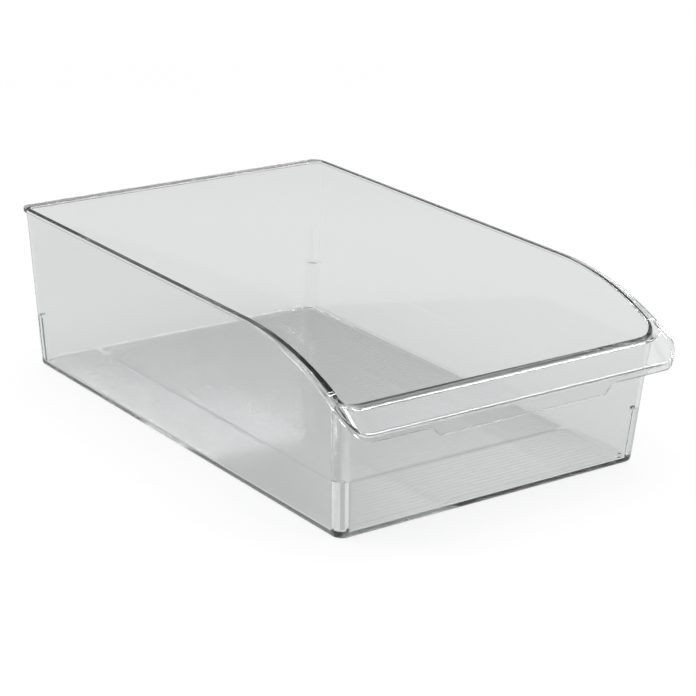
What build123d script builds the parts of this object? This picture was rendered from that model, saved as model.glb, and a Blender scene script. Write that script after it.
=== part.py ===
from build123d import *
import math
import os

# A clear open storage bin with a low front, a sloping rim and a pull handle along the front.
# The bin is one moulding. It is divided here at its natural lines, and the regions meet face to face.
# Frame: +Z up, +X right as seen from the front, the handle towards -Y.
# Origin: middle of the bounding box, on the surface that the bin stands on.

# Driving dimensions, millimetres

# Tub
base_width = 205.0
base_length = 319.0
back_height = 100.0
front_height = 75.4
side_lean = 7.0
front_lean = 6.6
back_lean = 4.0
corner_radius = 7.0
wall_thickness = 2.4
floor_thickness = 3.0

# Rim: a flat ledge on top of the walls, wider along the slope and the front
rim_thickness = 2.2
back_overhang = 3.3
side_overhang = 1.0
slope_overhang = 3.1
front_overhang = 4.8

# Slope of the rim: a crest arc and a foot arc, laid along the side, the corner and the front
slope_start = 78.0
crest_radius = 178.0
rim_foot_radius = 37.0
front_ease_length = 14.0

# Handle: a shelf that falls away from the front rim, with a skirt along its outer edge
handle_reach = 22.4
handle_side_reach = 9.5
handle_corner_radius = 12.0
handle_edge_height = 66.4
handle_foot_radius = 15.0
shelf_thickness = 2.2
skirt_thickness = 2.2
skirt_depth = 4.8
ear_skirt_depth = 3.4

# Grip lip: the deeper middle of the skirt, with slanted ends
lip_depth = 5.4
lip_top_half_width = 61.0
lip_bottom_half_width = 55.5

# Stacking posts: half round, one inside each upright corner
post_radius = 4.0
post_top = 32.5

# Floor ribs: low ridges across the floor
rib_pitch = 3.6
rib_width = 1.8
rib_height = 0.5
rib_margin = 9.0

# How finely the curves are divided
corner_steps = 6
slope_steps = 14
ease_steps = 3

# Sizes that follow from the driving dimensions
back_reach = back_lean * (back_height - rim_thickness) / back_height + back_overhang
overall_length = handle_reach + base_length + back_reach
front_base_y = handle_reach - overall_length / 2
back_base_y = front_base_y + base_length
slope_start_y = front_base_y + slope_start
corner_x = base_width / 2 - corner_radius
handle_front_y = front_base_y - handle_reach
handle_arc_x = base_width / 2 + handle_side_reach - handle_corner_radius
handle_arc_y = handle_front_y + handle_corner_radius


def slope_height(run, foot_height, foot_radius):
    """Height after a run along the slope: crest arc, then foot arc, then level."""
    angle = math.acos(1 - (back_height - foot_height) / (crest_radius + foot_radius))
    crest_run = crest_radius * math.sin(angle)
    whole_run = (crest_radius + foot_radius) * math.sin(angle)
    if run <= 0:
        return back_height
    if run <= crest_run:
        return back_height - crest_radius + math.sqrt(crest_radius**2 - run**2)
    if run < whole_run:
        return foot_height + foot_radius - math.sqrt(foot_radius**2 - (whole_run - run) ** 2)
    return foot_height


def rim_height(run):
    """Height of the rim's top after a run along the slope."""
    return slope_height(run, front_height, rim_foot_radius)


def handle_height(run):
    """Height of the handle's outer edge after a run along the slope."""
    return slope_height(run, handle_edge_height, handle_foot_radius)


def blend(first, last, share):
    """Value that eases from first to last as a share goes from 0 to 1."""
    share = min(max(share, 0), 1)
    return first + (last - first) * share**2 * (3 - 2 * share)


# Runs along the slope where the front corner starts and ends
corner_run = slope_start - corner_radius
corner_run = corner_run + front_lean * (rim_height(corner_run) - rim_thickness) / back_height
corner_end_run = corner_run + (corner_radius + slope_overhang) * math.pi / 2

# Runs along the handle's outer edge, where its corner arc starts and ends
handle_arc_run = slope_start_y - handle_arc_y
handle_end_run = handle_arc_run + handle_corner_radius * math.pi / 2


class Station:
    """One upright cross-section of the tub's side: a place in plan, a direction out and a lean."""

    def __init__(self, centre, lean, direction, overhang, run=0):
        self.centre = centre
        self.lean = lean
        self.direction = direction
        self.overhang = overhang
        self.top = rim_height(run)
        self.wall_top = self.top - rim_thickness

    def plan(self, z, out):
        """Point in plan at height z, a distance out from the wall's outer face."""
        rows = zip(self.centre, self.lean, self.direction)
        return tuple(c + lean * z / back_height + d * (corner_radius + out) for c, lean, d in rows)

    def rim_edge(self, out):
        """Point in plan on the rim, a distance out from the top of the wall."""
        return self.plan(self.wall_top, out)

    def wall_section(self):
        """Corners of the wall, from the ground to the underside of the rim."""
        rows = ((0, 0), (self.wall_top, 0), (self.wall_top, -wall_thickness), (0, -wall_thickness))
        return [(*self.plan(z, out), z) for z, out in rows]

    def rim_section(self):
        """Corners of the rim, flat on top of the wall."""
        inner = self.rim_edge(-wall_thickness)
        outer = self.rim_edge(self.overhang)
        return [(*inner, self.top), (*outer, self.top), (*outer, self.wall_top), (*inner, self.wall_top)]


def corner_stations(side, end):
    """Stations round one upright corner, from the side wall to the end wall."""
    if end < 0:
        centre = (side * corner_x, front_base_y + corner_radius)
        lean = (side * side_lean, -front_lean)
        overhangs = (slope_overhang, front_overhang)
        runs = (corner_run, corner_end_run)
    else:
        centre = (side * corner_x, back_base_y - corner_radius)
        lean = (side * side_lean, back_lean)
        overhangs = (side_overhang, back_overhang)
        runs = (0, 0)
    rows = []
    for step in range(corner_steps + 1):
        turn_share = step / corner_steps
        angle = math.pi / 2 * turn_share
        direction = (side * math.cos(angle), end * math.sin(angle))
        run = runs[0] + (runs[1] - runs[0]) * turn_share
        rows.append(Station(centre, lean, direction, blend(*overhangs, turn_share), run))
    return rows


def side_station(side, run):
    """Station on a side wall, which tilts more and more towards the front corner."""
    share = run / corner_run
    end_lean = -front_lean * share
    rim_y = slope_start_y - run
    centre = (side * corner_x, rim_y - end_lean * (rim_height(run) - rim_thickness) / back_height)
    overhang = blend(side_overhang, slope_overhang, share)
    return Station(centre, (side * side_lean, end_lean), (side, 0), overhang, run)


def steps_between(first, last, count):
    """Evenly spaced values from first, stopping one step before last."""
    return [first + (last - first) * step / count for step in range(count)]


def side_stations(side):
    """Stations along one side wall, from the back corner to the front corner."""
    slope = [side_station(side, run) for run in steps_between(0, corner_run, slope_steps)]
    return corner_stations(side, 1)[:1] + slope + corner_stations(side, -1)[:1]


def front_half_stations(side):
    """Stations on one half of the front wall, from the corner to where the rim is level."""
    rows = corner_stations(side, -1)[-1:]
    for run in steps_between(front_ease_length, 0, ease_steps)[::-1]:
        centre = (side * (corner_x - run), front_base_y + corner_radius)
        rows.append(Station(centre, (0, -front_lean), (0, -1), front_overhang, corner_end_run + run))
    return rows


def front_stations():
    """Stations along the front wall, from left to right."""
    return front_half_stations(-1) + front_half_stations(1)[::-1]


def back_stations():
    """Stations at the two ends of the back wall."""
    return [corner_stations(side, 1)[-1] for side in (-1, 1)]


def handle_section(station, outer, run):
    """Corners of the handle's shelf, from the rim to its outer edge, and of the skirt under that edge."""
    root = station.rim_edge(station.overhang)
    edge = handle_height(run)
    turn_share = min((run - handle_arc_run) / (handle_end_run - handle_arc_run), 1)
    low = edge - ear_skirt_depth - (skirt_depth - ear_skirt_depth) * turn_share
    skin_share = skirt_thickness / math.dist(root, outer)
    behind = [o + (r - o) * skin_share for r, o in zip(root, outer)]
    under = edge - shelf_thickness
    behind_under = under + (station.top - edge) * skin_share
    root_under = station.top - shelf_thickness
    shelf = [(*root, station.top), (*outer, edge), (*outer, under), (*root, root_under)]
    skirt = [(*outer, under), (*outer, low), (*behind, low), (*behind, behind_under)]
    return shelf, skirt


def ear_sections(side):
    """Handle sections round one front corner, from the side rim to the straight front."""
    rows = []
    for step, station in enumerate(corner_stations(side, -1)):
        angle = math.pi / 2 * step / corner_steps
        x = side * (handle_arc_x + handle_corner_radius * math.cos(angle))
        y = handle_arc_y - handle_corner_radius * math.sin(angle)
        rows.append(handle_section(station, (x, y), handle_arc_run + handle_corner_radius * angle))
    return rows


def front_handle_sections():
    """Handle sections along the straight front, from left to right."""
    rows = []
    for station in front_stations():
        x = station.centre[0] * handle_arc_x / corner_x
        rows.append(handle_section(station, (x, handle_front_y), handle_end_run + handle_arc_x - abs(x)))
    return rows


def inside_outline(z):
    """Outline of the tub's inside at height z."""
    rows = []
    for side, end, order in ((1, 1, 1), (-1, 1, -1), (-1, -1, 1), (1, -1, -1)):
        for station in corner_stations(side, end)[::order]:
            rows.append((*station.plan(z, -wall_thickness), z))
    return rows


def strip(sections):
    """One solid through a row of flat cross-sections."""
    wires = [Wire.make_polygon([Vector(*point) for point in section], close=True) for section in sections]
    return Solid.make_loft(wires, ruled=True)


def stacking_post(side, end):
    """Half-round post that leans with its corner, trimmed to the inside of the tub."""
    middle = corner_stations(side, end)[corner_steps // 2]
    rings = []
    for z in (floor_thickness, post_top):
        rings.append(Wire.make_circle(post_radius, Plane((*middle.plan(z, -wall_thickness), z))))
    post = Solid.make_loft(rings, ruled=True)
    inside = strip([inside_outline(floor_thickness), inside_outline(post_top)])
    return (post & inside).solid()


def floor_ribs():
    """Low ridges across the floor, evenly spaced between the margins."""
    rib_length = base_width - 2 * rib_margin
    ribbed_length = base_length - 2 * rib_margin
    count = int((ribbed_length - rib_width) // rib_pitch) + 1
    start_y = (front_base_y + back_base_y - (count - 1) * rib_pitch) / 2
    rib = Box(rib_length, rib_width, rib_height, align=(Align.CENTER, Align.CENTER, Align.MIN))
    return [(Pos(0, start_y + index * rib_pitch, floor_thickness) * rib).solid() for index in range(count)]


def grip_lip():
    """Plate that hangs under the middle of the skirt."""
    middle_shelf, middle_skirt = front_handle_sections()[ease_steps]
    top = min(z for x, y, z in middle_skirt)
    bottom = top - lip_depth
    outline = (
        (-lip_top_half_width, top),
        (lip_top_half_width, top),
        (lip_bottom_half_width, bottom),
        (-lip_bottom_half_width, bottom),
    )
    faces_y = (handle_front_y, handle_front_y + skirt_thickness)
    return strip([[(x, y, z) for x, z in outline] for y in faces_y])


def save(name, *solids):
    """Write one node, a single solid or a group of separate ones."""
    shape = solids[0] if len(solids) == 1 else Compound(children=list(solids))
    export_step(shape, os.path.join("parts", name + ".step"))


def save_wall_and_rim(wall_name, rim_name, stations):
    """Write a stretch of wall and the stretch of rim on top of it."""
    save(wall_name, strip([station.wall_section() for station in stations]))
    save(rim_name, strip([station.rim_section() for station in stations]))


def save_handle(shelf_name, skirt_name, sections):
    """Write a stretch of the handle's shelf and the skirt along its outer edge."""
    save(shelf_name, strip([shelf for shelf, skirt in sections]))
    save(skirt_name, strip([skirt for shelf, skirt in sections]))


os.makedirs("parts", exist_ok=True)

# Floor
save("floor_panel", strip([inside_outline(0), inside_outline(floor_thickness)]))
save("floor_ribs", *floor_ribs())

# Walls, rim and stacking posts
save_wall_and_rim("back_wall", "back_rim", back_stations())
save_wall_and_rim("front_wall", "front_rim", front_stations())
for side, side_name in ((-1, "left"), (1, "right")):
    save_wall_and_rim(side_name + "_wall", side_name + "_rim", side_stations(side))
    for end, end_name in ((-1, "front"), (1, "back")):
        place = end_name + "_" + side_name
        save_wall_and_rim(place + "_corner", place + "_rim_corner", corner_stations(side, end))
        save(place + "_stacking_post", stacking_post(side, end))

# Handle
save_handle("handle_shelf", "handle_skirt", front_handle_sections())
save("grip_lip", grip_lip())
for side, side_name in ((-1, "left"), (1, "right")):
    save_handle("handle_" + side_name + "_ear", "handle_" + side_name + "_ear_skirt", ear_sections(side))
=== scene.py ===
import logging
import math
from dataclasses import dataclass, field
from enum import Enum

import bmesh
import bpy
from mathutils import Matrix, Vector


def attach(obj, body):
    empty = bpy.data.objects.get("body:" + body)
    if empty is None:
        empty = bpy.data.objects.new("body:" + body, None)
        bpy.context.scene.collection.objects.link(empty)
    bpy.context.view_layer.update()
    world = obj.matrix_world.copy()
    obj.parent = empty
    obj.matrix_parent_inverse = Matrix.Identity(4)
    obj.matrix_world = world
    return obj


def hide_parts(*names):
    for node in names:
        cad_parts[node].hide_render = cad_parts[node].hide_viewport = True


# Looks of a clear open storage bin with a low front, a sloping rim and a pull handle.
# The real bin is one clear moulding, so one closed shell stands for all its regions.
# The bin's sizes are in millimetres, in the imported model's frame. The studio is in metres.

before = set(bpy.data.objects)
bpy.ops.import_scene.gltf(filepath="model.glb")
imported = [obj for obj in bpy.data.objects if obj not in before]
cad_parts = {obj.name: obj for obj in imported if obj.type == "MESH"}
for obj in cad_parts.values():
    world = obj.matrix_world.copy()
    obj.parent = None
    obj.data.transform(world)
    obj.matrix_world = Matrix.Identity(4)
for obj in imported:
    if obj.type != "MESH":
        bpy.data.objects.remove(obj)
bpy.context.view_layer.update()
LOG = logging.getLogger("clear_bin")
METRES = 0.001
QUARTER = math.pi / 2
WHITE = "#FFFFFF"
# Most of an edge that the bend at one of its ends may take.
BEND_SHARE = 0.42
# Heights that differ by less than this are level.
LEVEL = 0.01
# Point that the lamps are turned to, in metres.
BIN_MIDDLE = (0.0, 0.0, 0.04)
# Turns that a ray may take inside the clear walls, and clear faces that lamp light may pass.
RAY_BOUNCES = 40
CLEAR_PASSES = 32
Plan = tuple[float, float]
# Length that a bend takes of its two edges, and the steps that it is drawn in.
Rounding = tuple[float, int]
PLAIN: Rounding = (0.0, 0)


class Side(Enum):
    """Side of the bin as seen from the front."""

    LEFT = -1
    RIGHT = 1


class End(Enum):
    """End of the bin along Y."""

    FRONT = -1
    BACK = 1


def linear(colour: str) -> tuple[float, float, float, float]:
    """Turns an sRGB hex colour to linear.

    Args:
        colour: Six hex digits after a hash sign.

    Returns:
        Linear red, green and blue, and a full alpha.
    """
    parts = [int(colour[place : place + 2], 16) / 255 for place in (1, 3, 5)]
    red, green, blue = (p / 12.92 if p <= 0.04045 else ((p + 0.055) / 1.055) ** 2.4 for p in parts)
    return red, green, blue, 1.0


def add_node(
    tree: bpy.types.NodeTree, kind: str, links: dict | None = None, **settings: object
) -> bpy.types.Node:
    """Adds one shader node with its settings and links.

    Args:
        tree: Node tree that gets the node.
        kind: Blender's name of the node type.
        links: Input name or index to a value, or to the output socket that feeds it.
        **settings: Properties of the node itself.

    Returns:
        The new node.
    """
    node = tree.nodes.new(kind)
    for name, value in settings.items():
        setattr(node, name, value)
    for name, value in (links or {}).items():
        if isinstance(value, bpy.types.NodeSocket):
            tree.links.new(value, node.inputs[name])
        else:
            node.inputs[name].default_value = value
    return node


def shows_background(tree: bpy.types.NodeTree) -> bpy.types.NodeSocket:
    """Finds the rays that show the background.

    Args:
        tree: Node tree of the world or the floor.

    Returns:
        Socket that is 1 for camera, glossy and transmission rays, and 0 for the rest.
    """
    ray = add_node(tree, "ShaderNodeLightPath").outputs
    direct = add_node(
        tree,
        "ShaderNodeMath",
        {0: ray["Is Camera Ray"], 1: ray["Is Glossy Ray"]},
        operation="MAXIMUM",
    )
    every = add_node(
        tree,
        "ShaderNodeMath",
        {0: direct.outputs[0], 1: ray["Is Transmission Ray"]},
        operation="MAXIMUM",
    )
    return every.outputs[0]


def eased(first: float, last: float, share: float) -> float:
    """Value that eases from first to last as a share goes from 0 to 1."""
    share = min(max(share, 0.0), 1.0)
    return first + (last - first) * share**2 * (3 - 2 * share)


def spread(first: float, last: float, count: int) -> list[float]:
    """Evenly spaced values from first to last, both included, in so many steps."""
    return [first + (last - first) * step / count for step in range(count + 1)]


@dataclass(frozen=True)
class Bend:
    """One corner of a cross-section, rounded over a length of the two edges that meet there."""

    point: Vector
    length: float
    steps: int


def rounded(bends: list[Bend]) -> list[Vector]:
    """Draws a cross-section through its corners.

    Args:
        bends: Corners in order. The first and the last are plain points.

    Returns:
        Points along the section, one more for each corner than it has steps.
    """
    points = [bends[0].point]
    for before, bend, after in zip(bends, bends[1:], bends[2:]):
        towards, away = before.point - bend.point, after.point - bend.point
        length = min(bend.length, BEND_SHARE * towards.length, BEND_SHARE * away.length)
        start = bend.point + towards.normalized() * length
        stop = bend.point + away.normalized() * length
        pull = math.sin(towards.angle(away) / 2)
        for share in spread(0, 1, bend.steps):
            parts = ((1 - share) ** 2, 2 * share * (1 - share) * pull, share**2)
            mixed = start * parts[0] + bend.point * parts[1] + stop * parts[2]
            points.append(mixed / sum(parts))
    return points + [bends[-1].point]


# A polished mould gives PET a glassy skin with faint flow waves and a few dull scuffs. The long
# way through an edge shows the grey-green that a single wall hides.
@dataclass(frozen=True)
class ClearPlastic:
    """Clear PET, injection moulded in a polished mould, with its patterns in millimetres."""

    name: str = "clear_pet_polished_moulding"
    tint: str = "#F5F6F6"
    ior: float = 1.57
    roughness: float = 0.03
    depth_colour: str = "#8E9A99"
    depth_density: float = 3.0
    wave_width: float = 38.0
    wave_height: float = 0.012
    wave_detail: float = 1.5
    scuff_width: float = 2.4
    scuff_detail: float = 3.0
    scuff_range: tuple[float, float] = (0.45, 0.75)
    scuff_shares: tuple[float, float] = (0.8, 1.4)
    lamp_tint: str = "#EDF0F0"

    def material(self) -> bpy.types.Material:
        """Makes the material.

        Returns:
            Clear plastic that tints with depth and lets lamp light through to the floor.
        """
        made = bpy.data.materials.new(self.name)
        made.use_nodes = True
        tree = made.node_tree
        tree.nodes.clear()
        place = add_node(tree, "ShaderNodeTexCoord").outputs["Object"]
        waves, scuffs = (
            add_node(
                tree,
                "ShaderNodeTexNoise",
                {"Vector": place, "Scale": 1 / (width * METRES), "Detail": detail},
            ).outputs["Fac"]
            for width, detail in (
                (self.wave_width, self.wave_detail),
                (self.scuff_width, self.scuff_detail),
            )
        )
        skin = add_node(
            tree,
            "ShaderNodeMapRange",
            {
                "Value": scuffs,
                "From Min": self.scuff_range[0],
                "From Max": self.scuff_range[1],
                "To Min": self.roughness * self.scuff_shares[0],
                "To Max": self.roughness * self.scuff_shares[1],
            },
        )
        relief = add_node(
            tree, "ShaderNodeBump", {"Height": waves, "Distance": self.wave_height * METRES}
        )
        clear = add_node(
            tree,
            "ShaderNodeBsdfPrincipled",
            {
                "Base Color": linear(self.tint),
                "IOR": self.ior,
                "Transmission Weight": 1.0,
                "Roughness": skin.outputs["Result"],
                "Normal": relief.outputs["Normal"],
            },
        )
        lamp = add_node(tree, "ShaderNodeBsdfTransparent", {"Color": linear(self.lamp_tint)})
        ray = add_node(tree, "ShaderNodeLightPath")
        surface = add_node(
            tree,
            "ShaderNodeMixShader",
            {0: ray.outputs["Is Shadow Ray"], 1: clear.outputs["BSDF"], 2: lamp.outputs["BSDF"]},
        )
        depth = add_node(
            tree,
            "ShaderNodeVolumeAbsorption",
            {"Color": linear(self.depth_colour), "Density": self.depth_density},
        )
        add_node(
            tree,
            "ShaderNodeOutputMaterial",
            {"Surface": surface.outputs["Shader"], "Volume": depth.outputs["Volume"]},
        )
        return made


# Matt paint from a roller is flat and even: it has no highlight, and shows only shade.
@dataclass(frozen=True)
class RolledPaint:
    """Pale matt paint, rolled on the studio floor, with distances in metres.

    Near the bin a share of it keeps the bin's shadow. The rest, and all of it far off, shows the
    plain level of the backdrop to the rays that show the background.
    """

    name: str = "pale_matt_paint_rolled"
    colour: str = "#F2F2F2"
    near: float = 0.4
    far: float = 1.1
    near_glow: float = 0.8

    def material(self, backdrop: float) -> bpy.types.Material:
        """Makes the material.

        Args:
            backdrop: Level that reflections and clear plastic show. The camera sees white.

        Returns:
            The floor's paint.
        """
        made = bpy.data.materials.new(self.name)
        made.use_nodes = True
        tree = made.node_tree
        tree.nodes.clear()
        matt = add_node(tree, "ShaderNodeBsdfDiffuse", {"Color": linear(self.colour)})
        ray = add_node(tree, "ShaderNodeLightPath")
        level = add_node(
            tree,
            "ShaderNodeMath",
            {0: ray.outputs["Is Camera Ray"], 1: backdrop},
            operation="MAXIMUM",
        )
        glow = add_node(
            tree, "ShaderNodeEmission", {"Color": linear(WHITE), "Strength": level.outputs[0]}
        )
        place = add_node(tree, "ShaderNodeTexCoord").outputs["Object"]
        reach = add_node(tree, "ShaderNodeVectorMath", {0: place}, operation="LENGTH")
        share = add_node(
            tree,
            "ShaderNodeMapRange",
            {
                "Value": reach.outputs["Value"],
                "From Min": self.near,
                "From Max": self.far,
                "To Min": self.near_glow,
                "To Max": 1.0,
            },
        )
        part = add_node(
            tree,
            "ShaderNodeMath",
            {0: shows_background(tree), 1: share.outputs["Result"]},
            operation="MULTIPLY",
        )
        both = add_node(
            tree,
            "ShaderNodeMixShader",
            {0: part.outputs[0], 1: matt.outputs["BSDF"], 2: glow.outputs["Emission"]},
        )
        add_node(tree, "ShaderNodeOutputMaterial", {"Surface": both.outputs["Shader"]})
        return made


@dataclass(frozen=True)
class Slope:
    """Line that the rim and the handle's edge follow: a crest arc, a foot arc and a level end."""

    top: float = 100.0
    crest_radius: float = 178.0

    def height(self, run: float, foot: float, foot_radius: float) -> float:
        """Height after a run along the slope.

        Args:
            run: Distance from the start of the slope.
            foot: Height of the level end.
            foot_radius: Radius of the foot arc.

        Returns:
            Height above the ground.
        """
        both = self.crest_radius + foot_radius
        angle = math.acos(1 - (self.top - foot) / both)
        if run <= 0:
            return self.top
        if run <= self.crest_radius * math.sin(angle):
            return self.top - self.crest_radius + math.sqrt(self.crest_radius**2 - run**2)
        left = both * math.sin(angle) - run
        return foot + foot_radius - math.sqrt(foot_radius**2 - left**2) if left > 0 else foot


@dataclass
class Station:
    """One upright cross-section of the bin's side.

    Attributes:
        centre: Centre of the wall's corner rounding at the ground, in plan.
        lean: How far the wall leans out from the ground to the full height, in plan.
        direction: Way out of the wall, in plan.
        overhang: Reach of the rim past the wall.
        run: Distance along the slope, negative behind it.
        top: Height of the rim.
        crease: Reach of the flat rim past the wall.
        edge: Outer edge of the rim or handle, in plan.
        edge_out: Way out at that edge, in plan.
        edge_height: Height of that edge.
        skirt: Depth of the edge.
        skirt_thickness: Thickness of the edge.
        under: Reach of the joint under the rim past the wall.
        turn: Share of the way round a corner, or nothing on a straight wall.
        side: Left or right half of the bin.
        end: Front or back half of the bin.
    """

    centre: Plan
    lean: Plan
    direction: Plan
    overhang: float
    run: float = 0.0
    top: float = 100.0
    crease: float = 0.0
    edge: Plan = (0.0, 0.0)
    edge_out: Plan = (0.0, 0.0)
    edge_height: float = 100.0
    skirt: float = 2.2
    skirt_thickness: float = 0.6
    under: float = 0.5
    turn: float | None = None
    side: Side = Side.RIGHT
    end: End = End.FRONT


@dataclass(frozen=True)
class Spacing:
    """How closely the stations stand: places in millimetres, and numbers of steps."""

    back: tuple[float, ...] = (0.0, 32.0, 64.0, 84.0, 91.0)
    back_corner: int = 14
    side_starts: tuple[float, ...] = (5.0, 14.0)
    side_length: float = 200.0
    side: int = 8
    slope: int = 26
    ear: int = 20
    front_corner: int = 20
    front_stop: float = 75.0
    front: int = 12
    lip: int = 3
    lip_lead: float = 4.0
    middle: tuple[float, ...] = (36.0, 18.0, 0.0)


@dataclass(frozen=True)
class Roundings:
    """Bends of the cross-section, in order from the floor over the rim down to the base."""

    foot: Rounding = (1.4, 4)
    post_top: Rounding = (0.4, 3)
    post_seat: Rounding = (0.3, 2)
    rim: Rounding = (0.45, 5)
    crease: Rounding = (0.25, 3)
    facet: Rounding = (0.25, 2)
    edge: Rounding = (1.3, 6)
    skirt: Rounding = (0.3, 3)
    shelf: Rounding = (0.7, 3)
    under: Rounding = (0.6, 2)
    joint: Rounding = (0.8, 3)
    base: Rounding = (2.8, 8)


@dataclass
class StackingPost:
    """Half-round post inside each upright corner."""

    radius: float = 4.0
    top: float = 32.5

    def outline(self, reach: float, share: float, grow: float) -> Plan:
        """Point on the post's outline, from the side wall to the end wall.

        Args:
            reach: Radius of the corner's inside, on which the post is centred.
            share: How far round the corner, from 0 to 1.
            grow: Distance outside the post.

        Returns:
            Place from the corner's centre, out along the side's and the end's direction.
        """
        middle = reach * math.cos(math.pi / 4)
        radius = self.radius + grow
        first = -math.acos((reach - grow - middle) / radius)
        angle = first - (1.5 * math.pi + 2 * first) * share
        return middle + radius * math.cos(angle), middle + radius * math.sin(angle)


@dataclass
class FloorRibs:
    """Low round ridges across the floor.

    The ends are given as distances from a rib's end, each with the share of its height there.
    """

    pitch: float = 3.6
    width: float = 1.8
    height: float = 0.022
    margin: float = 9.0
    half_steps: int = 3
    ends: tuple[Plan, ...] = ((0.0, 0.0), (0.4, 0.7), (0.9, 1.0))

    def build(
        self, bm: bmesh.types.BMesh, span_x: float, low_y: float, high_y: float, z: float
    ) -> list[bmesh.types.BMEdge]:
        """Adds the ribbed field of the floor.

        Args:
            bm: Mesh that gets the faces.
            span_x: Width of the base.
            low_y: Front of the base.
            high_y: Back of the base.
            z: Height of the floor.

        Returns:
            The edges round the field.
        """
        room = high_y - low_y - 2 * self.margin
        count = int((room - self.width) // self.pitch) + 1
        start = (low_y + high_y - (count - 1) * self.pitch) / 2
        half = span_x / 2 - self.margin
        columns = [(inset - half, along) for inset, along in self.ends]
        columns += [(-x, along) for x, along in reversed(columns)]
        steps = self.half_steps
        rows = []
        for index in range(count):
            for step in range(-steps, steps + 1):
                share = math.cos(QUARTER * step / steps) if abs(step) < steps else 0.0
                y = start + index * self.pitch + self.width / 2 * step / steps
                heights = [(x, y, z + self.height * share * along) for x, along in columns]
                rows.append([bm.verts.new(Vector(point) * METRES) for point in heights])
        for near, far in zip(rows, rows[1:]):
            for place in range(len(columns) - 1):
                bm.faces.new((near[place], near[place + 1], far[place + 1], far[place]))
        return [edge for edge in bm.edges if edge.is_boundary]


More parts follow.
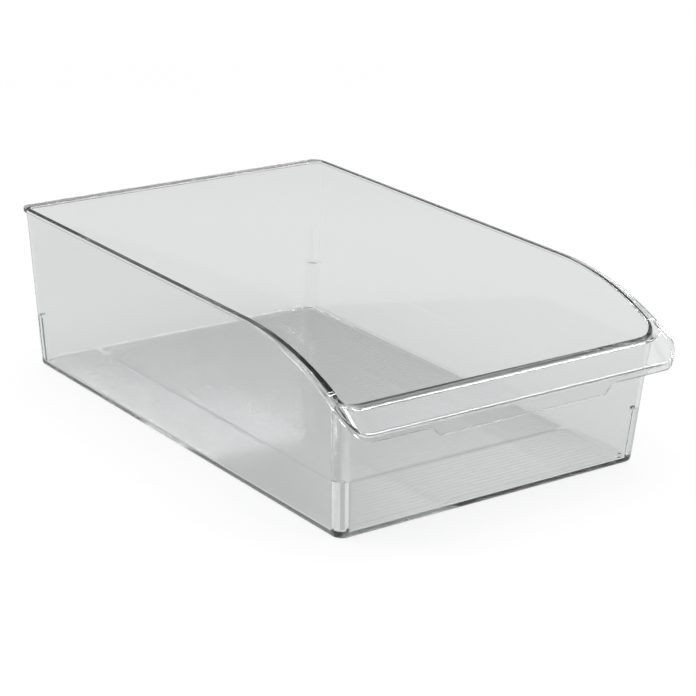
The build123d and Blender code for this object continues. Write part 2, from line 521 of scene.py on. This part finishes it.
@dataclass
class BinShell:
    """The whole clear moulding: tub, rim and pull handle as one closed skin."""

    plastic: ClearPlastic
    slope: Slope = field(default_factory=Slope)
    posts: StackingPost = field(default_factory=StackingPost)
    ribs: FloorRibs = field(default_factory=FloorRibs)
    spacing: Spacing = field(default_factory=Spacing)
    bends: Roundings = field(default_factory=Roundings)
    name: str = "clear_bin_shell"
    base_width: float = 205.0
    base_length: float = 319.0
    front_height: float = 75.4
    side_lean: float = 7.0
    front_lean: float = 6.6
    back_lean: float = 4.0
    corner_radius: float = 7.0
    wall: float = 2.4
    floor: float = 3.0
    # Where the skin of the tub ends on the floor and under the base, in from the wall.
    floor_inset: float = 3.4
    base_inset: float = 6.8
    # Distance that keeps the post's two bends apart on a straight wall, which has no post.
    bend_gap: float = 0.8
    rim: float = 2.2
    rim_relief: float = 0.4
    back_overhang: float = 3.3
    side_overhang: float = 1.0
    slope_overhang: float = 3.1
    front_overhang: float = 4.8
    # Shares of the overhang on a plain rim.
    rim_edge_share: float = 0.55
    rim_under_share: float = 0.2
    # How far the crease and the joint under the rim stay inside the overhang.
    rim_crease_inset: float = 1.4
    ear_crease_inset: float = 0.4
    ear_under_inset: float = 2.0
    front_under_inset: float = 0.8
    slope_start: float = 78.0
    rim_foot_radius: float = 37.0
    handle_reach: float = 22.4
    handle_side_reach: float = 9.5
    handle_corner: float = 12.0
    handle_height: float = 66.4
    handle_foot_radius: float = 15.0
    shelf: float = 2.2
    skirt: float = 4.8
    ear_skirt: float = 3.4
    lip: float = 5.4
    lip_top: float = 61.0
    lip_bottom: float = 55.5
    ear_run: float = 16.0
    # Narrow face below the crease that catches a lamp: its width, its lift and the most of the
    # way to the edge that it takes.
    facet: float = 1.5
    facet_ease: float = 0.12
    facet_share: float = 0.4
    # Slopes of the faces under the shelf's root and under the skirt, as rise over reach.
    haunch: float = 0.28
    skirt_rise: float = 0.036
    # How far the large walls outweigh the small bends in the shading of the skin.
    wall_weight: int = 80

    def __post_init__(self) -> None:
        """Works out the places that follow from the sizes."""
        top = self.slope.top
        back_reach = self.back_lean * (top - self.rim) / top + self.back_overhang
        reach = self.handle_reach + self.base_length + back_reach
        self.front_y = self.handle_reach - reach / 2
        self.back_y = self.front_y + self.base_length
        self.slope_y = self.front_y + self.slope_start
        self.corner_x = self.base_width / 2 - self.corner_radius
        self.back_run = self.slope_y - (self.back_y - self.corner_radius)
        self.handle_y = self.front_y - self.handle_reach
        self.arc_x = self.base_width / 2 + self.handle_side_reach - self.handle_corner
        self.arc_y = self.handle_y + self.handle_corner
        run = self.slope_start - self.corner_radius
        lean = self.front_lean * (self.rim_height(run) - self.rim) / top
        self.corner_run = run + lean
        bend = (self.corner_radius + self.slope_overhang) * QUARTER
        self.corner_end_run = self.corner_run + bend
        self.arc_run = self.slope_y - self.arc_y
        self.arc_end_run = self.arc_run + self.handle_corner * QUARTER

    def rim_height(self, run: float) -> float:
        """Height of the rim's top after a run along the slope."""
        return self.slope.height(run, self.front_height, self.rim_foot_radius)

    def edge_height(self, run: float) -> float:
        """Height of the handle's outer edge after a run along the slope."""
        return self.slope.height(run, self.handle_height, self.handle_foot_radius)

    def plan(self, station: Station, z: float, out: float) -> Plan:
        """Point in plan on the wall or beside it.

        Args:
            station: Where round the bin.
            z: Height above the ground.
            out: Distance out from the wall's outer face.

        Returns:
            The point.
        """
        reach = self.corner_radius + out
        rows = zip(station.centre, station.lean, station.direction)
        x, y = (c + lean * z / self.slope.top + way * reach for c, lean, way in rows)
        return x, y

    def on_rim(self, station: Station, out: float) -> Plan:
        """Point in plan on the rim, a distance out from the top of the wall."""
        return self.plan(station, station.top - self.rim, out)

    def plain_edge(self, station: Station) -> Station:
        """Gives a station the edge of a plain rim, without the handle.

        Args:
            station: Station that is changed.

        Returns:
            The same station.
        """
        station.edge = self.on_rim(station, station.overhang)
        station.edge_out = station.direction
        station.edge_height = station.top
        station.crease = station.overhang - self.rim_crease_inset
        station.skirt_thickness = self.rim_edge_share * station.overhang
        station.under = self.rim_under_share * station.overhang
        return station

    def back_station(self, x: float, side: Side) -> Station:
        """Makes a station on the back wall.

        Args:
            x: Place along the wall at the ground.
            side: Half of the bin that it belongs to.

        Returns:
            The station.
        """
        lean = (self.side_lean * x / self.corner_x, self.back_lean)
        centre = (x, self.back_y - self.corner_radius)
        made = Station(centre, lean, (0.0, 1.0), self.back_overhang, side=side, end=End.BACK)
        return self.plain_edge(made)

    def back_corner_station(self, side: Side, share: float) -> Station:
        """Makes a station round a back corner.

        Args:
            side: Which corner.
            share: Way round it, from the side wall at 0 to the back wall at 1.

        Returns:
            The station.
        """
        angle = QUARTER * share
        way = (side.value * math.cos(angle), math.sin(angle))
        centre = (side.value * self.corner_x, self.back_y - self.corner_radius)
        lean = (side.value * self.side_lean, self.back_lean)
        overhang = eased(self.side_overhang, self.back_overhang, share)
        made = Station(centre, lean, way, overhang, turn=share, side=side, end=End.BACK)
        return self.plain_edge(made)

    def side_station(self, side: Side, run: float) -> Station:
        """Makes a station on a side wall.

        Args:
            side: Which wall.
            run: Distance along the slope, negative behind it.

        Returns:
            The station.
        """
        share = max(run, 0.0) / self.corner_run
        back_share = min(run, 0.0) / self.back_run
        top = self.rim_height(run)
        along = self.back_lean * back_share - self.front_lean * share
        shift = along * (top - self.rim) / self.slope.top if run > 0 else 0.0
        centre = (side.value * self.corner_x, self.slope_y - run - shift)
        lean = (side.value * self.side_lean, along)
        overhang = eased(self.side_overhang, self.slope_overhang, share)
        made = Station(centre, lean, (side.value, 0.0), overhang, run, top, side=side)
        self.plain_edge(made)
        made.skirt = self.rim + (self.ear_skirt - self.rim) * share
        self.lead_into_ear(made)
        return made

    def lead_into_ear(self, station: Station) -> None:
        """Lets the edge of a side station run ahead into the handle, near the front corner.

        Args:
            station: Station that is changed.
        """
        share = max(station.run - (self.corner_run - self.ear_run), 0.0) / self.ear_run
        if share <= 0:
            return
        run = station.run + (self.arc_run - self.corner_run) * share**2
        x = eased(abs(station.edge[0]), self.arc_x + self.handle_corner, share)
        station.edge = (station.side.value * x, self.slope_y - run)
        station.edge_height = self.edge_height(run)
        first, last = (station.overhang - i for i in (self.rim_crease_inset, self.ear_crease_inset))
        station.crease = eased(first, last, share)
        station.skirt_thickness = eased(station.skirt_thickness, self.shelf, share)
        station.under = eased(station.under, station.overhang - self.ear_under_inset, share)

    def front_corner_station(self, side: Side, share: float) -> Station:
        """Makes a station round a front corner with the handle's ear.

        Args:
            side: Which corner.
            share: Way round it, from the side wall at 0 to the front wall at 1.

        Returns:
            The station.
        """
        angle = QUARTER * share
        way = (side.value * math.cos(angle), -math.sin(angle))
        run = self.corner_run + (self.corner_end_run - self.corner_run) * share
        centre = (side.value * self.corner_x, self.front_y + self.corner_radius)
        lean = (side.value * self.side_lean, -self.front_lean)
        overhang = eased(self.slope_overhang, self.front_overhang, share)
        made = Station(
            centre, lean, way, overhang, run, self.rim_height(run), turn=share, side=side
        )
        made.edge = (
            side.value * (self.arc_x + self.handle_corner * math.cos(angle)),
            self.arc_y - self.handle_corner * math.sin(angle),
        )
        made.edge_out = way
        made.edge_height = self.edge_height(self.arc_run + self.handle_corner * angle)
        made.crease = overhang - self.ear_crease_inset * (1 - share)
        made.skirt = self.ear_skirt + (self.skirt - self.ear_skirt) * share
        made.skirt_thickness = self.shelf
        first = self.slope_overhang - self.ear_under_inset
        made.under = eased(first, self.front_overhang - self.front_under_inset, share)
        return made

    def front_station(self, x: float, side: Side) -> Station:
        """Makes a station on the front wall, with the handle and in the middle its deeper lip.

        Args:
            x: Place along the wall at the ground.
            side: Half of the bin that it belongs to.

        Returns:
            The station.
        """
        run = self.corner_end_run + self.corner_x - abs(x)
        lean = (self.side_lean * x / self.corner_x, -self.front_lean)
        centre = (x, self.front_y + self.corner_radius)
        way = (0.0, -1.0)
        made = Station(
            centre, lean, way, self.front_overhang, run, self.rim_height(run), side=side
        )
        edge_x = x * self.arc_x / self.corner_x
        made.edge, made.edge_out = (edge_x, self.handle_y), way
        made.edge_height = self.edge_height(self.arc_end_run + self.arc_x - abs(edge_x))
        made.crease = self.front_overhang
        lip_share = (self.lip_top - abs(edge_x)) / (self.lip_top - self.lip_bottom)
        made.skirt = self.skirt + self.lip * min(max(lip_share, 0.0), 1.0)
        made.skirt_thickness = self.shelf
        made.under = self.front_overhang - self.front_under_inset
        return made

    def half_loop(self, side: Side) -> list[Station]:
        """Makes the stations of one half of the bin.

        Args:
            side: Which half.

        Returns:
            Stations from the middle of the back to the middle of the front.
        """
        gaps = self.spacing
        way = side.value
        shrink = self.corner_x / self.arc_x
        ear_start = self.corner_run - self.ear_run
        runs = [self.back_run + start for start in gaps.side_starts]
        runs += spread(-gaps.side_length, 0, gaps.side)
        runs += spread(0, ear_start, gaps.slope)[1:]
        runs += spread(ear_start, self.corner_run, gaps.ear)[1:-1]
        edges = [self.lip_top + gaps.lip_lead, *spread(self.lip_top, self.lip_bottom, gaps.lip)]
        edges += [self.lip_bottom - gaps.lip_lead, *gaps.middle]
        fronts = spread(self.corner_x, gaps.front_stop, gaps.front)[1:]
        rows = [self.back_station(way * x, side) for x in gaps.back]
        rows += [self.back_corner_station(side, turn) for turn in spread(1, 0, gaps.back_corner)]
        rows += [self.side_station(side, run) for run in runs]
        rows += [self.front_corner_station(side, turn) for turn in spread(0, 1, gaps.front_corner)]
        rows += [self.front_station(way * x, side) for x in fronts]
        rows += [self.front_station(way * x * shrink, side) for x in edges]
        return rows

    def stations(self) -> list[Station]:
        """Stations all round the bin."""
        right, left = self.half_loop(Side.RIGHT), self.half_loop(Side.LEFT)
        return right + left[-2:0:-1]

    def inner_plan(self, station: Station, z: float, grow: float, with_post: bool) -> Plan:
        """Point in plan on the inside of the tub.

        Args:
            station: Where round the bin.
            z: Height above the ground.
            grow: Distance inside the wall or the post.
            with_post: Whether the stacking post stands out from a corner at that height.

        Returns:
            The point.
        """
        if station.turn is None or not with_post:
            return self.plan(station, z, -self.wall - grow)
        inside = self.corner_radius - self.wall
        out_side, out_end = self.posts.outline(inside, station.turn, grow)
        lean_x, lean_y = (lean * z / self.slope.top for lean in station.lean)
        x = station.centre[0] + lean_x + station.side.value * out_side
        y = station.centre[1] + lean_y + station.end.value * out_end
        return x, y

    def section(self, station: Station) -> list[Vector]:
        """Draws the cross-section of the moulding at a station.

        Args:
            station: Where round the bin.

        Returns:
            Points from the floor over the rim down to the base.
        """
        top, floor, post = station.top, self.floor, self.posts.top
        edge, edge_height = station.edge, station.edge_height
        seat = 0.0 if station.turn is not None else self.bend_gap
        low = edge_height - station.skirt
        behind = [e - way * station.skirt_thickness for e, way in zip(edge, station.edge_out)]
        crease = Vector((*self.on_rim(station, station.crease), top))
        fall = Vector((*edge, edge_height)) - crease
        facet = crease + fall * min(self.facet / fall.length, self.facet_share)
        facet.z += (crease.z - facet.z) * self.facet_ease
        handle = edge_height < top - LEVEL
        thick = self.shelf if handle else self.rim - self.rim_relief
        joint = top - thick - (self.haunch * station.under if handle else 0.0)
        bends = self.bends
        rows = [
            (self.inner_plan(station, floor, self.floor_inset, True), floor, PLAIN),
            (self.inner_plan(station, floor, 0.0, True), floor, bends.foot),
            (self.inner_plan(station, post, 0.0, True), post - seat, bends.post_top),
            (self.inner_plan(station, post, 0.0, False), post + seat, bends.post_seat),
            (self.on_rim(station, -self.wall), top, bends.rim),
            (crease.xy, top, bends.crease),
            (facet.xy, facet.z, bends.facet),
            (edge, edge_height, bends.edge),
            (edge, low, bends.skirt),
            (behind, low + self.skirt_rise * station.skirt_thickness, bends.skirt),
            (behind, edge_height - thick, bends.shelf),
            (self.on_rim(station, station.under), top - thick, bends.under),
            (self.plan(station, joint, 0.0), joint, bends.joint),
            (self.plan(station, 0.0, 0.0), 0.0, bends.base),
            (self.plan(station, 0.0, -self.base_inset), 0.0, PLAIN),
        ]
        return rounded([Bend(Vector((*plan, z)), *rounding) for plan, z, rounding in rows])

    def build(self) -> bpy.types.Object:
        """Makes the shell's mesh.

        Returns:
            The new object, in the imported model's frame.
        """
        bm = bmesh.new()
        field_edges = self.ribs.build(bm, self.base_width, self.front_y, self.back_y, self.floor)
        sections = [self.section(station) for station in self.stations()]
        loop = [[bm.verts.new(point * METRES) for point in points] for points in sections]
        pairs = list(zip(loop, loop[1:] + loop[:1]))
        for near, far in pairs:
            for place in range(len(near) - 1):
                bm.faces.new((near[place], far[place], far[place + 1], near[place + 1]))
        bm.faces.new([row[-1] for row in loop])
        floor_line = [bm.edges.get((near[0], far[0])) for near, far in pairs]
        bmesh.ops.triangle_fill(bm, use_beauty=True, edges=floor_line + field_edges)
        bmesh.ops.recalc_face_normals(bm, faces=bm.faces)
        mesh = bpy.data.meshes.new(self.name)
        bm.to_mesh(mesh)
        open_edges = sum(1 for edge in bm.edges if len(edge.link_faces) != 2)
        LOG.info("shell has %d faces and %d open edges", len(bm.faces), open_edges)
        bm.free()
        mesh.shade_smooth()
        made = bpy.data.objects.new(self.name, mesh)
        bpy.context.collection.objects.link(made)
        weighted = made.modifiers.new("flat walls", "WEIGHTED_NORMAL")
        weighted.mode, weighted.weight = "FACE_AREA_WITH_ANGLE", self.wall_weight
        return made

    def dress(self, shell: bpy.types.Object) -> None:
        """Gives the shell its plastic and its place in the model.

        Args:
            shell: The object that build made.
        """
        shell.data.materials.append(self.plastic.material())
        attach(shell, "root")
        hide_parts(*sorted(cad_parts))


@dataclass
class Room:
    """Light of the room round the bin: a white backdrop, a white panel and a dim ceiling.

    Spans are parts of the view's direction, from -1 to 1 along an axis, over which a level fades.
    """

    backdrop: float = 0.76
    ceiling: float = 0.16
    panel: float = 1.2
    fill: float = 0.5
    backdrop_span: tuple[float, float] = (0.04, 0.32)
    panel_side_span: tuple[float, float] = (0.5, 0.6)
    panel_foot_span: tuple[float, float] = (0.352, 0.376)
    panel_head_span: tuple[float, float] = (0.45, 0.6)

    def build(self) -> None:
        """Sets the world: the room is white to the camera and even to matt surfaces."""
        world = bpy.data.worlds.new("studio_room")
        bpy.context.scene.world = world
        world.use_nodes = True
        tree = world.node_tree
        tree.nodes.clear()
        spot = add_node(tree, "ShaderNodeTexCoord").outputs["Generated"]
        way = add_node(tree, "ShaderNodeSeparateXYZ", {0: spot})
        low, right, above, below = (
            add_node(
                tree,
                "ShaderNodeMapRange",
                {
                    "Value": way.outputs[axis],
                    "From Min": start,
                    "From Max": stop,
                    "To Min": first,
                    "To Max": last,
                },
                interpolation_type="SMOOTHSTEP",
            ).outputs["Result"]
            for axis, (start, stop), first, last in (
                ("Z", self.backdrop_span, self.backdrop, self.ceiling * self.backdrop),
                ("X", self.panel_side_span, 0.0, self.panel),
                ("Z", self.panel_foot_span, 0.0, 1.0),
                ("Z", self.panel_head_span, 1.0, 0.0),
            )
        )
        band = add_node(tree, "ShaderNodeMath", {0: above, 1: below}, operation="MULTIPLY")
        panel = add_node(
            tree, "ShaderNodeMath", {0: right, 1: band.outputs[0]}, operation="MULTIPLY"
        )
        ray = add_node(tree, "ShaderNodeLightPath")
        shown = low
        for brighter in (panel.outputs[0], ray.outputs["Is Camera Ray"]):
            shown = add_node(
                tree, "ShaderNodeMath", {0: shown, 1: brighter}, operation="MAXIMUM"
            ).outputs[0]
        level = add_node(
            tree,
            "ShaderNodeMix",
            {"Factor": shows_background(tree), "A": self.fill, "B": shown},
            data_type="FLOAT",
        )
        light = add_node(
            tree,
            "ShaderNodeBackground",
            {"Color": linear(WHITE), "Strength": level.outputs["Result"]},
        )
        add_node(tree, "ShaderNodeOutputWorld", {"Surface": light.outputs["Background"]})


@dataclass
class Softbox:
    """One soft studio lamp that points at the bin."""

    name: str
    place: tuple[float, float, float]
    width: float
    length: float
    watts: float

    def build(self) -> bpy.types.Object:
        """Makes the lamp.

        Returns:
            The lamp, turned to the middle of the bin.
        """
        lamp = bpy.data.lights.new(self.name, "AREA")
        lamp.shape, lamp.energy = "RECTANGLE", self.watts
        lamp.size, lamp.size_y = self.width, self.length
        made = bpy.data.objects.new(self.name, lamp)
        made.location = self.place
        towards = Vector(BIN_MIDDLE) - made.location
        made.rotation_euler = towards.to_track_quat("-Z", "Y").to_euler()
        bpy.context.collection.objects.link(made)
        return made


@dataclass
class PhotoCamera:
    """Camera at the photograph's viewing angle, in degrees and millimetres."""

    focal_pixels: float = 2328.25
    picture_pixels: float = 696.0
    azimuth: float = -36.16
    elevation: float = 19.50
    roll: float = 1.46
    slide_x: float = 14.76
    slide_y: float = 36.24
    distance: float = 1373.79
    aim_y: float = 7.594
    sensor_width: float = 36.0
    nearest: float = 50.0
    farthest: float = 30000.0

    def build(self) -> bpy.types.Object:
        """Places the camera where the photograph was taken from.

        Returns:
            The camera, which is the scene's camera.
        """
        angles = (self.azimuth, self.elevation, self.roll)
        turn, rise, roll = (math.radians(angle) for angle in angles)
        flat = math.cos(rise)
        back = Vector((math.sin(turn) * flat, -math.cos(turn) * flat, math.sin(rise)))
        level = Vector((math.cos(turn), math.sin(turn), 0))
        upright = back.cross(level)
        right = level * math.cos(roll) + upright * math.sin(roll)
        up = upright * math.cos(roll) - level * math.sin(roll)
        place = right * self.slide_x + up * self.slide_y + back * self.distance
        place += Vector((0, self.aim_y, 0))
        data = bpy.data.cameras.new("photo_camera")
        data.sensor_width = self.sensor_width
        data.lens = self.focal_pixels / self.picture_pixels * data.sensor_width
        data.clip_start, data.clip_end = self.nearest * METRES, self.farthest * METRES
        made = bpy.data.objects.new("photo_camera", data)
        turned = Matrix((right, up, back)).transposed().to_4x4()
        made.matrix_world = Matrix.Translation(place * METRES) @ turned
        bpy.context.collection.objects.link(made)
        bpy.context.scene.camera = made
        return made


@dataclass
class Studio:
    """Pale floor, white room, soft lamps and the photograph's camera, in metres and watts."""

    room: Room = field(default_factory=Room)
    paint: RolledPaint = field(default_factory=RolledPaint)
    camera: PhotoCamera = field(default_factory=PhotoCamera)
    floor_reach: float = 4.0
    floor_gap: float = 0.0003
    lamps: tuple[Softbox, ...] = (
        Softbox("top_softbox", (-0.1, 0.0, 1.6), 1.6, 1.6, 9.0),
        Softbox("left_softbox", (-0.8, 0.5, 1.05), 0.35, 0.35, 7.0),
        Softbox("fill_strip", (0.9, -1.0, 0.8), 0.8, 0.14, 5.0),
        Softbox("right_strip", (0.76, -0.1, 1.23), 0.09, 0.9, 4.5),
        Softbox("right_softbox", (1.2, -0.5, 1.6), 0.55, 1.1, 2.2),
    )

    def lay_floor(self) -> bpy.types.Object:
        """Makes the pale floor, just below the bin.

        Returns:
            The floor.
        """
        mesh = bpy.data.meshes.new("studio_floor")
        far = self.floor_reach
        corners = [(-far, -far, 0), (far, -far, 0), (far, far, 0), (-far, far, 0)]
        mesh.from_pydata(corners, [], [(0, 1, 2, 3)])
        made = bpy.data.objects.new("studio_floor", mesh)
        made.location.z = -self.floor_gap
        bpy.context.collection.objects.link(made)
        mesh.materials.append(self.paint.material(self.room.backdrop))
        return made

    def build(self) -> None:
        """Sets up the room, the floor, the lamps and the camera."""
        self.room.build()
        self.lay_floor()
        for lamp in self.lamps:
            lamp.build()
        self.camera.build()


def set_light_paths() -> None:
    """Lets light go as often through and along the clear walls as it really does."""
    cycles = bpy.context.scene.cycles
    for name in ("max_bounces", "transmission_bounces", "glossy_bounces"):
        setattr(cycles, name, RAY_BOUNCES)
    cycles.transparent_max_bounces = CLEAR_PASSES
    cycles.caustics_reflective, cycles.caustics_refractive = False, False
    bpy.context.scene.view_settings.view_transform = "Standard"


def main() -> None:
    """Builds the bin and its studio."""
    logging.basicConfig(level=logging.INFO, format="%(name)s: %(message)s")
    moulding = BinShell(ClearPlastic())
    shell = moulding.build()
    moulding.dress(shell)
    LOG.info("%s stands for %d nodes", shell.name, len(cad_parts))
    Studio().build()
    LOG.info("studio with floor, lamps and camera")
    set_light_paths()


if __name__ == "__main__":
    main()
